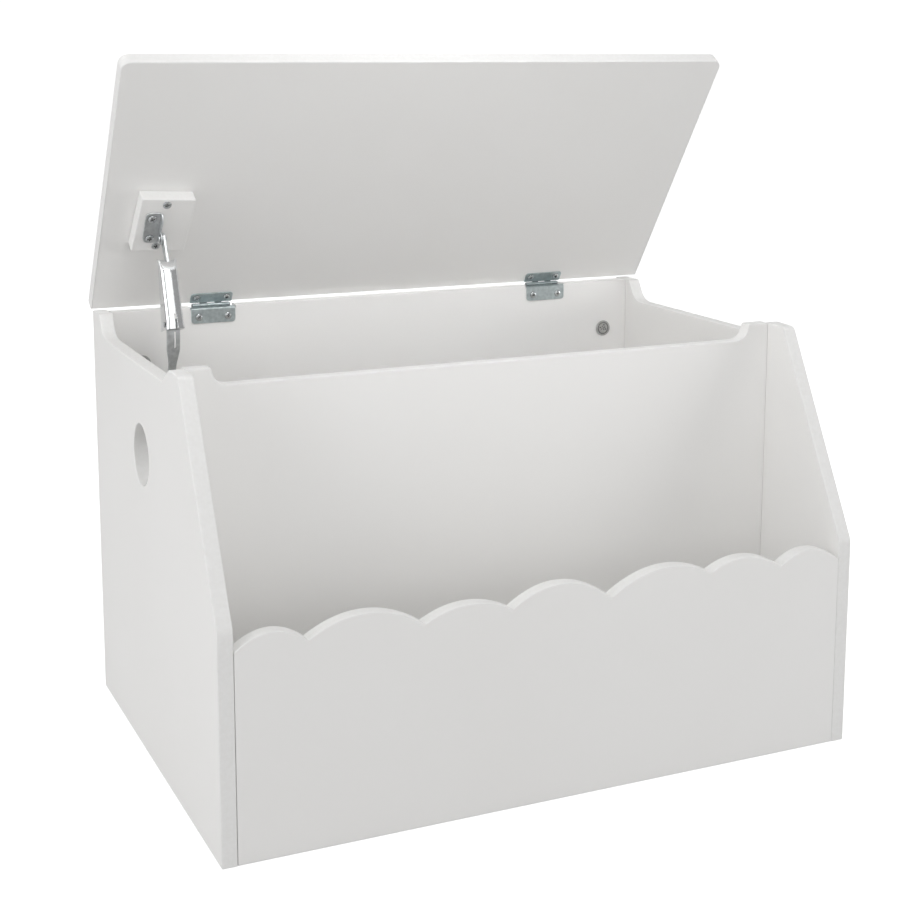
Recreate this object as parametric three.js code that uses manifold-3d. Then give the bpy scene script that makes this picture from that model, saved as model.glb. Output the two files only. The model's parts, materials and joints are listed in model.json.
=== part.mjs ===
// Storage bench with a book pocket in front: painted board carcase, hinged lid, folding lid stay.
// Millimetres, +X to the right, -Y to the front, +Z up. The lid is drawn open, at its stop.
import * as THREE from 'three';
import { mergeVertices } from 'three/addons/utils/BufferGeometryUtils.js';
import Module from 'manifold-3d';

const wasm = await Module();
wasm.setup();
const { Manifold, Mesh } = wasm;

// ---------------------------------------------------------------- driving dimensions
const WIDTH = 670;            // over the side panels
const DEPTH = 460;            // front face of the side panels to their rear edge
const BOARD = 15;             // side, front, back, divider and lid board
const GAP = 0.3;              // between touching pieces
const EDGE = 1.2;             // eased board edges

const SIDE_FRONT_Z = 216;     // top of the low front of a side panel
const SLOPE_TOP_Y = -122;     // where the sloped front meets the hump
const DIP_Z = 406;            // floor of the finger dip in the side panels
const DIP_REAR_Y = 198;       // top of the dip's slanted rear wall
const DIP_FOOT_Y = 183;       // where that wall would meet the dip's floor
const DIP_FRONT_Y = -62;
const HUMP_START_Y = -93;     // where the hump reaches its full height
const HOLE_Y = 25.5, HOLE_Z = 315, HOLE_R = 31;

const BACK_Y = 205;           // inner face of the back panel
const DIVIDER_Y = -95;        // front face of the divider
const DIVIDER_DIP_Z = 404;
const FLOOR_Z = 18, FLOOR_T = 12;

const PIN_Y = 214.5, PIN_Z = 430;        // lid hinge axis
const LID_OPEN = 55.8;                   // underside above the horizontal, as drawn
const LID_CLOSED = -2;                   // same angle with the lid down on the side panels
const LID_W = 680, LID_REAR = -1.6, LID_FRONT = -322, LID_R = 10;
const LEAF_T = 1.3, KNUCKLE_R = 2.4, PIN_R = 1.0, HINGE_X = 207, HINGE_W = 50;
const UNDERSIDE = KNUCKLE_R + GAP;       // lid underside above the hinge axis, in lid axes

const STAY_X = -281;                     // middle plane of the lid stay
const BLOCK = { x: -279, y: -128.4, w: 57, l: 69.3, t: 15, turn: 3.5 };
const PIVOT = { y: -118.6, h: 24 };      // upper pivot: along the lid, and below its underside
const ELBOW = new THREE.Vector2(93.5, 431.5);
const HOUSING_W = 19, HOUSING_WALL = 1.6;
const ARM_T = 2.5;

const rad = THREE.MathUtils.degToRad;
const REAR_TOP = PIN_Z + 0.1;  // top of the back panel and of the side panels behind the dip
const topLine = (y) => PIN_Z + UNDERSIDE - GAP * 1.4 - (PIN_Y - y) * Math.tan(rad(-LID_CLOSED));

// ---------------------------------------------------------------- materials
const material = (color, metalness, roughness) =>
  new THREE.MeshStandardMaterial({ color, metalness, roughness });
const paint = () => material(0xf2f2f0, 0, 0.45);
const zinc = () => material(0x9fb0b2, 0.9, 0.35);
const chrome = () => material(0xd8dadc, 1, 0.15);
const steel = () => material(0x8f9394, 0.9, 0.4);
const cast = () => material(0xa8aaac, 0.8, 0.45);

// ---------------------------------------------------------------- solids and booleans
const group = new THREE.Group();
group.name = 'storage_bench';
const lid = new THREE.Group();
lid.name = 'lid_group';
lid.position.set(0, PIN_Y, PIN_Z);
lid.rotation.x = rad(-LID_OPEN);
group.add(lid);

function solid(geometry) {
  const g = geometry.clone();
  g.deleteAttribute('normal');
  g.deleteAttribute('uv');
  const m = mergeVertices(g, 1e-4);
  return new Manifold(new Mesh({
    numProp: 3,
    vertProperties: new Float32Array(m.attributes.position.array),
    triVerts: new Uint32Array(m.index.array),
  }));
}

function geometryOf(body) {
  const mesh = body.getMesh();
  const g = new THREE.BufferGeometry();
  g.setAttribute('position', new THREE.BufferAttribute(new Float32Array(mesh.vertProperties), 3));
  g.setIndex(new THREE.BufferAttribute(new Uint32Array(mesh.triVerts), 1));
  g.computeVertexNormals();
  return g;
}

function put(name, body, mat, parent = group) {
  const geometry = body.isBufferGeometry ? body : geometryOf(body);
  const mesh = new THREE.Mesh(geometry, mat);
  mesh.name = name;
  parent.add(mesh);
  return mesh;
}

const add = (first, ...rest) => rest.reduce((a, b) => a.add(b), first);
const cut = (first, ...rest) => rest.reduce((a, b) => a.subtract(b), first);

const box = (x0, x1, y0, y1, z0, z1) => new THREE.BoxGeometry(x1 - x0, y1 - y0, z1 - z0)
  .translate((x0 + x1) / 2, (y0 + y1) / 2, (z0 + z1) / 2);
const rodX = (r, x0, x1, y, z, n = 20) => new THREE.CylinderGeometry(r, r, x1 - x0, n)
  .rotateZ(Math.PI / 2).translate((x0 + x1) / 2, y, z);

// shape axes to bench axes: side (y, z) along +X, front (x, z) along -Y
const SIDE = new THREE.Matrix4().makeBasis(
  new THREE.Vector3(0, 1, 0), new THREE.Vector3(0, 0, 1), new THREE.Vector3(1, 0, 0));
const FRONT = new THREE.Matrix4().makeBasis(
  new THREE.Vector3(1, 0, 0), new THREE.Vector3(0, 0, 1), new THREE.Vector3(0, -1, 0));

function board(shape, thickness, frame, edge = EDGE, curveSegments = 6) {
  const options = { depth: thickness - 2 * edge, curveSegments, bevelEnabled: edge > 0 };
  if (edge > 0) {
    Object.assign(options, {
      bevelThickness: edge, bevelSize: edge, bevelOffset: -edge, bevelSegments: 2,
    });
  }
  const g = new THREE.ExtrudeGeometry(shape, options).translate(0, 0, edge);
  return frame ? g.applyMatrix4(frame) : g;
}

function roundedRect(x0, x1, y0, y1, radii) {
  const [bl, br, tr, tl] = Array.isArray(radii) ? radii : [radii, radii, radii, radii];
  const s = new THREE.Shape();
  s.moveTo(x0 + bl, y0);
  s.lineTo(x1 - br, y0);
  if (br) s.absarc(x1 - br, y0 + br, br, -Math.PI / 2, 0);
  s.lineTo(x1, y1 - tr);
  if (tr) s.absarc(x1 - tr, y1 - tr, tr, 0, Math.PI / 2);
  s.lineTo(x0 + tl, y1);
  if (tl) s.absarc(x0 + tl, y1 - tl, tl, Math.PI / 2, Math.PI);
  s.lineTo(x0, y0 + bl);
  if (bl) s.absarc(x0 + bl, y0 + bl, bl, Math.PI, Math.PI * 1.5);
  return s;
}

function circle(x, y, r, n = 44) {
  const p = new THREE.Path();
  for (let i = 0; i < n; i += 1) {
    const a = (-2 * Math.PI * i) / n;
    p[i ? 'lineTo' : 'moveTo'](x + r * Math.cos(a), y + r * Math.sin(a));
  }
  p.closePath();
  return p;
}

// ---------------------------------------------------------------- side panels
function sideShape() {
  const half = DEPTH / 2;
  const ease = 4.5, corner = 5, footRise = 10, footRun = 17;
  const humpTop = topLine(HUMP_START_Y);
  const s = new THREE.Shape();
  s.moveTo(-half, 0);
  s.lineTo(half, 0);
  s.lineTo(half, REAR_TOP - 3);
  s.quadraticCurveTo(half, REAR_TOP, half - 3, REAR_TOP);
  s.lineTo(DIP_REAR_Y + 2, REAR_TOP);
  const wall = (DIP_REAR_Y - DIP_FOOT_Y) / (REAR_TOP - DIP_Z);
  s.quadraticCurveTo(DIP_REAR_Y, REAR_TOP, DIP_REAR_Y - 2 * wall, REAR_TOP - 2);
  s.lineTo(DIP_FOOT_Y + footRise * wall, DIP_Z + footRise);
  s.quadraticCurveTo(DIP_FOOT_Y, DIP_Z, DIP_FOOT_Y - footRun, DIP_Z);
  s.lineTo(DIP_FRONT_Y, DIP_Z);
  s.quadraticCurveTo(DIP_FRONT_Y - ease, DIP_Z, (DIP_FRONT_Y + HUMP_START_Y) / 2, (DIP_Z + humpTop) / 2);
  s.quadraticCurveTo(HUMP_START_Y + ease, humpTop, HUMP_START_Y, humpTop);
  s.lineTo(SLOPE_TOP_Y + corner, topLine(SLOPE_TOP_Y + corner));
  const slope = new THREE.Vector2(-half - SLOPE_TOP_Y, SIDE_FRONT_Z - topLine(SLOPE_TOP_Y)).normalize();
  s.quadraticCurveTo(SLOPE_TOP_Y, topLine(SLOPE_TOP_Y),
    SLOPE_TOP_Y + slope.x * corner, topLine(SLOPE_TOP_Y) + slope.y * corner);
  s.lineTo(-half - slope.x * corner, SIDE_FRONT_Z - slope.y * corner);
  s.quadraticCurveTo(-half, SIDE_FRONT_Z, -half, SIDE_FRONT_Z - corner);
  s.lineTo(-half, 0);
  s.holes.push(circle(HOLE_Y, HOLE_Z, HOLE_R));
  return s;
}

for (const [name, x] of [['side_left', -WIDTH / 2], ['side_right', WIDTH / 2 - BOARD]]) {
  put(name, board(sideShape(), BOARD, SIDE).translate(x, 0, 0), paint());
}

// ---------------------------------------------------------------- back, divider, front, floor
const INNER = WIDTH / 2 - BOARD - GAP;   // half length of every board between the sides

// the hinges sit in pockets in its top edge
function backShape() {
  const top = REAR_TOP, seat = PIN_Z - KNUCKLE_R - GAP, pocket = HINGE_W / 2 + 0.6;
  const s = new THREE.Shape();
  s.moveTo(-INNER, 1);
  s.lineTo(INNER, 1);
  s.lineTo(INNER, top);
  for (const x of [HINGE_X, -HINGE_X]) {
    s.lineTo(x + pocket, top);
    s.lineTo(x + pocket, seat);
    s.lineTo(x - pocket, seat);
    s.lineTo(x - pocket, top);
  }
  s.lineTo(-INNER, top);
  s.lineTo(-INNER, 1);
  return s;
}
put('back_panel', board(backShape(), BOARD, FRONT).translate(0, BACK_Y + BOARD, 0), paint());

function dividerShape() {
  const top = topLine(DIVIDER_Y) - 0.3, wallX = 296, fillet = 15, z0 = FLOOR_Z + FLOOR_T + GAP;
  const s = new THREE.Shape();
  s.moveTo(-INNER, z0);
  s.lineTo(INNER, z0);
  s.lineTo(INNER, top);
  s.lineTo(wallX + 2, top);
  s.quadraticCurveTo(wallX, top, wallX - 0.4, top - 2);
  s.quadraticCurveTo(wallX - 3, DIVIDER_DIP_Z, wallX - fillet - 3, DIVIDER_DIP_Z);
  s.lineTo(-wallX + fillet + 3, DIVIDER_DIP_Z);
  s.quadraticCurveTo(-wallX + 3, DIVIDER_DIP_Z, -wallX + 0.4, top - 2);
  s.quadraticCurveTo(-wallX, top, -wallX - 2, top);
  s.lineTo(-INNER, top);
  return s;
}
put('divider', board(dividerShape(), BOARD, FRONT).translate(0, DIVIDER_Y + BOARD, 0), paint());

// scalloped top edge of the front panel: valleys (x, z) from left to right, and the arch crests
const VALLEYS = [[-INNER, 197], [-252, 198], [-140, 196], [-51, 197], [55, 194], [167, 203.5],
  [250, 199], [INNER, 198]];
const CRESTS = [211, 215, 208.5, 215, 215.5, 214, 212];

function frontShape() {
  const s = new THREE.Shape();
  s.moveTo(-INNER, 0);
  s.lineTo(INNER, 0);
  const steps = 12;
  for (let i = CRESTS.length - 1; i >= 0; i -= 1) {
    const [x0, z0] = VALLEYS[i], [x1, z1] = VALLEYS[i + 1];
    const rise = CRESTS[i] - (z0 + z1) / 2;
    for (let k = steps; k > (i ? 0 : -1); k -= 1) {
      const t = k / steps;
      s.lineTo(x0 + (x1 - x0) * t, z0 + (z1 - z0) * t + rise * (1 - (2 * t - 1) ** 2));
    }
  }
  s.lineTo(-INNER, 0);
  return s;
}
put('front_panel', board(frontShape(), BOARD, FRONT).translate(0, -DEPTH / 2 + BOARD, 0), paint());

put('floor_panel', box(-INNER, INNER, -DEPTH / 2 + BOARD + GAP, BACK_Y - GAP,
  FLOOR_Z, FLOOR_Z + FLOOR_T), paint());

// ---------------------------------------------------------------- lid and its block (lid axes)
put('lid', board(roundedRect(-LID_W / 2, LID_W / 2, LID_FRONT, LID_REAR, [LID_R, LID_R, 0, 0]),
  BOARD, null, 1.5).translate(0, 0, UNDERSIDE), paint(), lid);

const BLOCK_FACE = UNDERSIDE - GAP - BLOCK.t;
put('lid_block', board(roundedRect(-BLOCK.w / 2, BLOCK.w / 2, -BLOCK.l / 2, BLOCK.l / 2, 0), BLOCK.t, null, 1)
  .rotateZ(rad(BLOCK.turn)).translate(BLOCK.x, BLOCK.y, BLOCK_FACE), paint(), lid);

// ---------------------------------------------------------------- screws and cam locks
// pan head on +Z with its seat at z = 0, a cross recess and a short shank through the fitting
function screw(headR, headH, shankR, shankL) {
  const profile = [[0, -shankL], [shankR, -shankL], [shankR, 0], [headR, 0], [headR, headH * 0.35],
    [headR * 0.7, headH], [0, headH]]
    .map(([x, y]) => new THREE.Vector2(x, y));
  const head = solid(new THREE.LatheGeometry(profile, 14).rotateX(Math.PI / 2));
  const w = headR * 0.14, l = headR * 0.62;
  return cut(head, solid(box(-w, w, -l, l, headH * 0.35, headH + 1)),
    solid(box(-l, l, -w, w, headH * 0.35, headH + 1)));
}

const placed = (body, matrix) => geometryOf(body).applyMatrix4(matrix);
const at = (x, y, z, rx = 0, ry = 0, rz = 0) => new THREE.Matrix4()
  .makeRotationFromEuler(new THREE.Euler(rx, ry, rz)).setPosition(x, y, z);
const TO_FRONT = Math.PI / 2;            // turns +Z to -Y
const DOWN = Math.PI;                    // turns +Z to -Z

function camLock() {
  const r = 9.5, t = 1.4;
  const disc = solid(new THREE.CylinderGeometry(r - 0.4, r, t, 28).rotateX(Math.PI / 2)
    .translate(0, 0, t / 2));
  return cut(disc, solid(box(-0.9, 0.9, -5, 5, 0.5, 3)), solid(box(-5, 5, -0.9, 0.9, 0.5, 3)));
}
const cam = camLock();
for (const [side, sx] of [['l', -1], ['r', 1]]) {
  for (const [level, z] of [['top', 371], ['low', 62]]) {
    put(`cam_back_${side}_${level}`,
      placed(cam, at(sx * 288, BACK_Y - GAP, z, TO_FRONT, 0, 0.5)), cast());
    put(`cam_divider_${side}_${level}`,
      placed(cam, at(sx * 288, DIVIDER_Y + BOARD + GAP, z, -TO_FRONT, 0, 0.3)), cast());
  }
}

// ---------------------------------------------------------------- cranked butt hinges
const KNUCKLES = 5, KNUCKLE_SPAN = 42;
const pitch = KNUCKLE_SPAN / KNUCKLES;
const hingeScrew = screw(3.8, 1.5, 1.6, LEAF_T + GAP / 2);

function knuckles(odd, neck) {
  const parts = [];
  for (let i = odd ? 1 : 0; i < KNUCKLES; i += 2) {
    const x0 = -KNUCKLE_SPAN / 2 + i * pitch + 0.15, x1 = x0 + pitch - 0.3;
    parts.push(solid(rodX(KNUCKLE_R, x0, x1, 0, 0, 18)));
    parts.push(solid(neck(x0, x1)));
  }
  return parts;
}

// both leaves in axes at the hinge pin; the lid leaf lies on top, the case leaf wraps the board
function lidLeaf() {
  const h = HINGE_W / 2, seat = KNUCKLE_R - LEAF_T;
  const plate = solid(board(roundedRect(-h + 1.2, h - 1.2, -16.2, -KNUCKLE_R - 0.4, [3.5, 3.5, 0.6, 0.6]),
    LEAF_T, null, 0).translate(0, 0, seat));
  const neck = (x0, x1) => box(x0, x1, -KNUCKLE_R - 1, 0, seat, KNUCKLE_R);
  const bores = [-17, 17].map((x) => solid(new THREE.CylinderGeometry(1.9, 1.9, 6, 14)
    .rotateX(Math.PI / 2).translate(x, -10, seat)));
  return cut(add(plate, ...knuckles(true, neck)),
    solid(rodX(PIN_R + GAP, -30, 30, 0, 0, 12)), ...bores);
}

const LEAF_FACE_Y = BACK_Y - GAP - LEAF_T - PIN_Y;   // front of the case leaf from the pin
const CASE_SCREW_Z = -11.4;                          // case leaf screws below the pin
function caseLeaf() {
  const h = HINGE_W / 2, seat = -KNUCKLE_R + LEAF_T;
  const drop = solid(board(roundedRect(-h, h, -18.5, seat, [3.5, 3.5, 1, 1]), LEAF_T, FRONT, 0)
    .translate(0, LEAF_FACE_Y + LEAF_T, 0));
  const shelf = solid(box(-h + 1, h - 1, LEAF_FACE_Y + 0.2, -KNUCKLE_R - 0.4, -KNUCKLE_R, seat));
  const neck = (x0, x1) => box(x0, x1, -KNUCKLE_R - 1, 0, -KNUCKLE_R, seat);
  const bores = [-16.5, 16.5].map((x) => solid(new THREE.CylinderGeometry(1.9, 1.9, 6, 14)
    .translate(x, LEAF_FACE_Y, CASE_SCREW_Z)));
  return cut(add(drop, shelf, ...knuckles(false, neck)),
    solid(rodX(PIN_R + GAP, -30, 30, 0, 0, 12)), ...bores);
}

function hingePin() {
  const end = KNUCKLE_SPAN / 2 + 0.25;
  return add(solid(rodX(PIN_R, -end - 0.3, end + 0.3, 0, 0, 12)),
    solid(rodX(1.9, -end - 0.9, -end, 0, 0, 12)), solid(rodX(1.9, end, end + 0.9, 0, 0, 14)));
}

const leafUp = lidLeaf(), leafDown = caseLeaf(), pin = hingePin();
for (const [side, x] of [['l', -HINGE_X], ['r', HINGE_X]]) {
  put(`hinge_${side}_lid_leaf`, geometryOf(leafUp).translate(x, 0, 0), zinc(), lid);
  put(`hinge_${side}_case_leaf`, geometryOf(leafDown).translate(x, PIN_Y, PIN_Z), zinc());
  put(`hinge_${side}_pin`, geometryOf(pin).translate(x, PIN_Y, PIN_Z), steel());
  [-17, 17].forEach((dx, i) => {
    put(`screw_${side}_lid_${i + 1}`, placed(hingeScrew,
      at(x + dx, -10, KNUCKLE_R - LEAF_T - GAP, DOWN, 0, 0.4 + i)), steel(), lid);
  });
  [-16.5, 16.5].forEach((dx, i) => {
    put(`screw_${side}_case_${i + 1}`, placed(hingeScrew,
      at(x + dx, PIN_Y + LEAF_FACE_Y - GAP, PIN_Z + CASE_SCREW_Z, TO_FRONT, 0, 0.6 + i)), steel());
  });
}

// ---------------------------------------------------------------- lid stay, upper bracket (lid axes)
const pivotZ = UNDERSIDE - PIVOT.h;
const plateZ = BLOCK_FACE - GAP;         // face of the bracket plate against the block
const FLANGE_X = STAY_X - 0.9;           // right face of the flange
const PLATE_T = 1.6;

function lidBracket() {
  const plate = solid(board(roundedRect(-299.5, FLANGE_X, -147, -107.5, [5, 1, 1, 6.5]), PLATE_T, null, 0)
    .translate(0, 0, plateZ - PLATE_T));
  const ear = new THREE.Shape();         // flange outline in (y, z)
  ear.moveTo(-145.5, plateZ);
  ear.lineTo(-145.5, plateZ - 5);
  ear.quadraticCurveTo(-144.5, plateZ - 8, -138, plateZ - 9);
  ear.lineTo(PIVOT.y - 6, pivotZ - 5);
  ear.absarc(PIVOT.y, pivotZ, 6.5, -2.3, 0.1);
  ear.lineTo(-108.5, plateZ);
  const flange = solid(board(ear, PLATE_T, SIDE, 0).translate(FLANGE_X - PLATE_T, 0, 0));
  const bores = [-139.8, -113.6].map((y) => solid(new THREE.CylinderGeometry(2.1, 2.1, 8, 14)
    .rotateX(Math.PI / 2).translate(-292.5, y, plateZ)));
  return cut(add(plate, flange), solid(rodX(2 + GAP, -300, -270, PIVOT.y, pivotZ, 20)), ...bores);
}
put('stay_bracket', lidBracket(), steel(), lid);

const plateScrew = screw(4.6, 2, 1.8, PLATE_T + GAP / 2);
[-139.8, -113.6].forEach((y, i) => put(`screw_bracket_${i + 1}`, placed(plateScrew,
  at(-292.5, y, plateZ - PLATE_T - GAP, DOWN, 0, 0.5 + i)), steel(), lid));
[[-278.4, -156.3], [-284, -101.7]].forEach(([x, y], i) => put(`screw_block_${i + 1}`,
  placed(screw(4.5, 1.6, 1.8, 0.01), at(x, y, BLOCK_FACE - GAP, DOWN, 0, 0.3 + i)), steel(), lid));

const ARM_X0 = FLANGE_X + 0.4, ARM_X1 = ARM_X0 + ARM_T;
put('stay_rivet', add(
  solid(rodX(2, FLANGE_X - PLATE_T - 1.2, ARM_X1 + 1.2, PIVOT.y, pivotZ, 20)),
  solid(rodX(3.6, FLANGE_X - PLATE_T - 1.9, FLANGE_X - PLATE_T - GAP, PIVOT.y, pivotZ, 24)),
  solid(rodX(3.6, ARM_X1 + GAP, ARM_X1 + 1.9, PIVOT.y, pivotZ, 24))), steel(), lid);

// ---------------------------------------------------------------- lid stay, arm and housing (bench axes)
const turn = new THREE.Matrix4().makeRotationX(rad(-LID_OPEN)).setPosition(0, PIN_Y, PIN_Z);
const pivot3 = new THREE.Vector3(0, PIVOT.y, pivotZ).applyMatrix4(turn);
const UPPER = new THREE.Vector2(pivot3.y, pivot3.z);
const LOWER = new THREE.Vector2(ELBOW.x - (UPPER.x - PIN_Y), ELBOW.y - (UPPER.y - PIN_Z));

// capsule between two points of the (y, z) plane
function link(a, ra, b, rb) {
  const dir = Math.atan2(b.y - a.y, b.x - a.x);
  const s = new THREE.Shape();
  s.absarc(a.x, a.y, ra, dir + Math.PI / 2, dir + Math.PI * 1.5);
  s.absarc(b.x, b.y, rb, dir - Math.PI / 2, dir + Math.PI / 2);
  return s;
}
const armEnd = new THREE.Vector2(108.5, 482);
put('stay_arm', cut(
  solid(board(link(UPPER, 6, armEnd, 3.4), ARM_T, SIDE, 0).translate(ARM_X0, 0, 0)),
  solid(rodX(2 + GAP, -300, -270, UPPER.x, UPPER.y, 20))), steel());

// housing: folded channel, wider at its lower end, open at the rear and below
const HOUSING_TILT = Math.atan2(23.5, 63);
const housingFrame = new THREE.Matrix4().makeRotationX(-HOUSING_TILT).setPosition(STAY_X, 81.5, 429);
const inFrame = (y, z) => {
  const v = new THREE.Vector3(STAY_X, y, z).applyMatrix4(housingFrame.clone().invert());
  return new THREE.Vector2(v.y, v.z);
};
function channel(inset) {
  const plan = roundedRect(-HOUSING_W / 2 + inset, HOUSING_W / 2 - inset, inset, 60,
    [6 - inset, 6 - inset, 0, 0]);
  const tall = solid(board(plan, 110, null, 0).translate(0, 0, -20));
  const s = new THREE.Shape();
  const top = inFrame(105, 495.5), rear = inFrame(117, 495), low = inFrame(108, 422);
  if (inset) {
    s.moveTo(-5, -25);
    s.lineTo(70, -25);
    s.lineTo(70, top.y - inset);
    s.lineTo(-5, top.y - inset);
  } else {
    s.moveTo(-2, 0);
    s.lineTo(low.x - 3, low.y);
    s.quadraticCurveTo(low.x, low.y, low.x + 0.3, low.y + 3);
    s.lineTo(rear.x, rear.y - 2);
    s.quadraticCurveTo(rear.x, rear.y, rear.x - 2, rear.y);
    s.lineTo(-2, top.y);
  }
  const side = solid(board(s, HOUSING_W + 4, SIDE, 0).translate(-HOUSING_W / 2 - 2, 0, 0));
  return tall.intersect(side);
}
const elbowLocal = inFrame(ELBOW.x, ELBOW.y);
const notch = solid(box(1.2, 3.8, -1, 4, -5, 12));
const housing = cut(channel(0), channel(HOUSING_WALL), notch,
  solid(rodX(2 + GAP, -20, 20, elbowLocal.x, elbowLocal.y, 20)));
const slot = solid(board(link(UPPER, 8, armEnd, 4.2), ARM_T + 2 * GAP, SIDE, 0)
  .translate(ARM_X0 - GAP, 0, 0).applyMatrix4(housingFrame.clone().invert()));
put('stay_housing', placed(cut(housing, slot), housingFrame), chrome());

const HX0 = STAY_X - HOUSING_W / 2, HX1 = STAY_X + HOUSING_W / 2;
put('stay_elbow_pin', add(
  solid(rodX(2, HX0 - 0.4, HX1 + 0.4, ELBOW.x, ELBOW.y, 20)),
  solid(rodX(2.8, HX0 - 0.7, HX0 - GAP, ELBOW.x, ELBOW.y, 24)),
  solid(rodX(2.8, HX1 + GAP, HX1 + 0.7, ELBOW.x, ELBOW.y, 24))), steel());

// ---------------------------------------------------------------- lid stay, lower arm and its mount
const STRAP_W = 13.4, NECK_W = 7.6, STRAP_T = 3;
function lowerArm() {
  const line = new THREE.CatmullRomCurve3([
    [ELBOW.x, ELBOW.y], [96, 414], [101, 392], [113, 368], [138, 352], [LOWER.x, LOWER.y],
  ].map(([y, z]) => new THREE.Vector3(y, z, 0)), false, 'centripetal');
  const n = 20, left = [], right = [];
  for (let i = 0; i <= n; i += 1) {
    const p = line.getPointAt(i / n), t = line.getTangentAt(i / n);
    left.push(new THREE.Vector2(p.x - t.y * STRAP_T / 2, p.y + t.x * STRAP_T / 2));
    right.push(new THREE.Vector2(p.x + t.y * STRAP_T / 2, p.y - t.x * STRAP_T / 2));
  }
  const strap = solid(board(new THREE.Shape([...left, ...right.reverse()]), STRAP_W, SIDE, 0)
    .translate(STAY_X - STRAP_W / 2, 0, 0));
  const outline = new THREE.Shape([
    [-NECK_W / 2, 320], [NECK_W / 2, 320], [NECK_W / 2, 388], [STRAP_W / 2 - 0.4, 403],
    [STRAP_W / 2, 409], [STRAP_W / 2, 445], [-STRAP_W / 2, 445], [-STRAP_W / 2, 409],
    [-STRAP_W / 2 + 0.4, 403], [-NECK_W / 2, 388],
  ].map(([x, z]) => new THREE.Vector2(x, z)));
  const taper = solid(board(outline, 140, FRONT, 0).translate(STAY_X, 210, 0));
  const w = STRAP_W / 2, e = NECK_W / 2;
  return cut(
    add(strap.intersect(taper), solid(rodX(5.6, STAY_X - w, STAY_X + w, ELBOW.x, ELBOW.y)),
      solid(rodX(6.6, STAY_X - e, STAY_X + e, LOWER.x, LOWER.y))),
    solid(rodX(2 + 0.8, -300, -260, ELBOW.x, ELBOW.y, 20)),
    solid(rodX(3 + GAP, -300, -260, LOWER.x, LOWER.y, 20)),
    solid(box(STAY_X - 0.6, STAY_X + 1.8, 80, 120, 407, 423)));
}
put('stay_lower_arm', lowerArm(), steel());

const MOUNT = { y0: 152, y1: 201, z0: 314, z1: 377, t: 20 };
const panelIn = -WIDTH / 2 + BOARD + GAP, mountFace = panelIn + MOUNT.t;
put('side_block', board(roundedRect(MOUNT.y0, MOUNT.y1, MOUNT.z0, MOUNT.z1, 0), MOUNT.t, SIDE, 1)
  .translate(panelIn, 0, 0), paint());
const baseX = mountFace + GAP;
const eye = NECK_W / 2;
put('stay_foot', cut(
  add(
    solid(board(roundedRect(LOWER.x - 12, LOWER.x + 12, LOWER.y - 25, LOWER.y + 25, 8), PLATE_T, SIDE, 0)
      .translate(baseX, 0, 0)),
    solid(rodX(5.5, baseX + 0.5, STAY_X - eye - 0.5, LOWER.x, LOWER.y)),
    solid(rodX(3, baseX + 0.5, STAY_X + eye + 2, LOWER.x, LOWER.y, 24)),
    solid(rodX(5.2, STAY_X + eye + 0.5, STAY_X + eye + 2.2, LOWER.x, LOWER.y))),
  ...[-18, 18].map((dz) => solid(rodX(2.1, baseX - 1, baseX + 4, LOWER.x, LOWER.y + dz, 14)))), steel());
[-18, 18].forEach((dz, i) => put(`screw_foot_${i + 1}`, placed(plateScrew,
  at(baseX + PLATE_T + GAP, LOWER.x, LOWER.y + dz, 0, Math.PI / 2, 0)), steel()));

export default group;
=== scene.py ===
import json
from math import atan2, cos, pi, radians, sin, tan

import bmesh
import bpy
from mathutils import Matrix, Vector
from mathutils.geometry import tessellate_polygon


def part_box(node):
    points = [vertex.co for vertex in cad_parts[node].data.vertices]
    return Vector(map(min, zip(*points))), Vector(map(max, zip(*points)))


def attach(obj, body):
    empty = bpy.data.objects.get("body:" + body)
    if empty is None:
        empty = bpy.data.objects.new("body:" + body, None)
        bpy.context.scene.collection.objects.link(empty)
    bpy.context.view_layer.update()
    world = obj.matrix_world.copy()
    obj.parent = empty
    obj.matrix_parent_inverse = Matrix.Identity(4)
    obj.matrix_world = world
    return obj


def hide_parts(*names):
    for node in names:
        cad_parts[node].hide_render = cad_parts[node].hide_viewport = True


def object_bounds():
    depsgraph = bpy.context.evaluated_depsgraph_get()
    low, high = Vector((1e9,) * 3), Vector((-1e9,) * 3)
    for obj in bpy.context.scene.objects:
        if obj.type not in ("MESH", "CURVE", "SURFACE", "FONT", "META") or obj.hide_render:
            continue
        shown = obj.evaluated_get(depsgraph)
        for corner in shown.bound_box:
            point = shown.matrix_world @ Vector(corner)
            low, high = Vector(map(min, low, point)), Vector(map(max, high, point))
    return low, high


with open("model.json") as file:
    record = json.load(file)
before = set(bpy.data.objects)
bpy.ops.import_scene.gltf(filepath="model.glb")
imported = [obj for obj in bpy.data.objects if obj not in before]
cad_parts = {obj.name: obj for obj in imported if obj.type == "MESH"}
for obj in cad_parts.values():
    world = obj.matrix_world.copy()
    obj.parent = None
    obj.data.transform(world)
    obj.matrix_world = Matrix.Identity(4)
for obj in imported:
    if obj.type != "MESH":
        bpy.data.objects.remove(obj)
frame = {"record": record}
cad_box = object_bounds()

# ------------------------------------------------------------------ dimensions, millimetres
MM = 0.001
GAP = 0.3                     # between touching pieces
EDGE = 1.2                    # eased board edges
LID_EDGE = 1.5
LID_T, LID_DEPTH, LID_REAR = 15, 322, -1.6    # depth and rear edge from the pins' axis
LID_OPEN = radians(55.8)      # underside above the horizontal, at rest
LID_SLOPE = tan(radians(2))   # the closed lid falls towards the front

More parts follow.
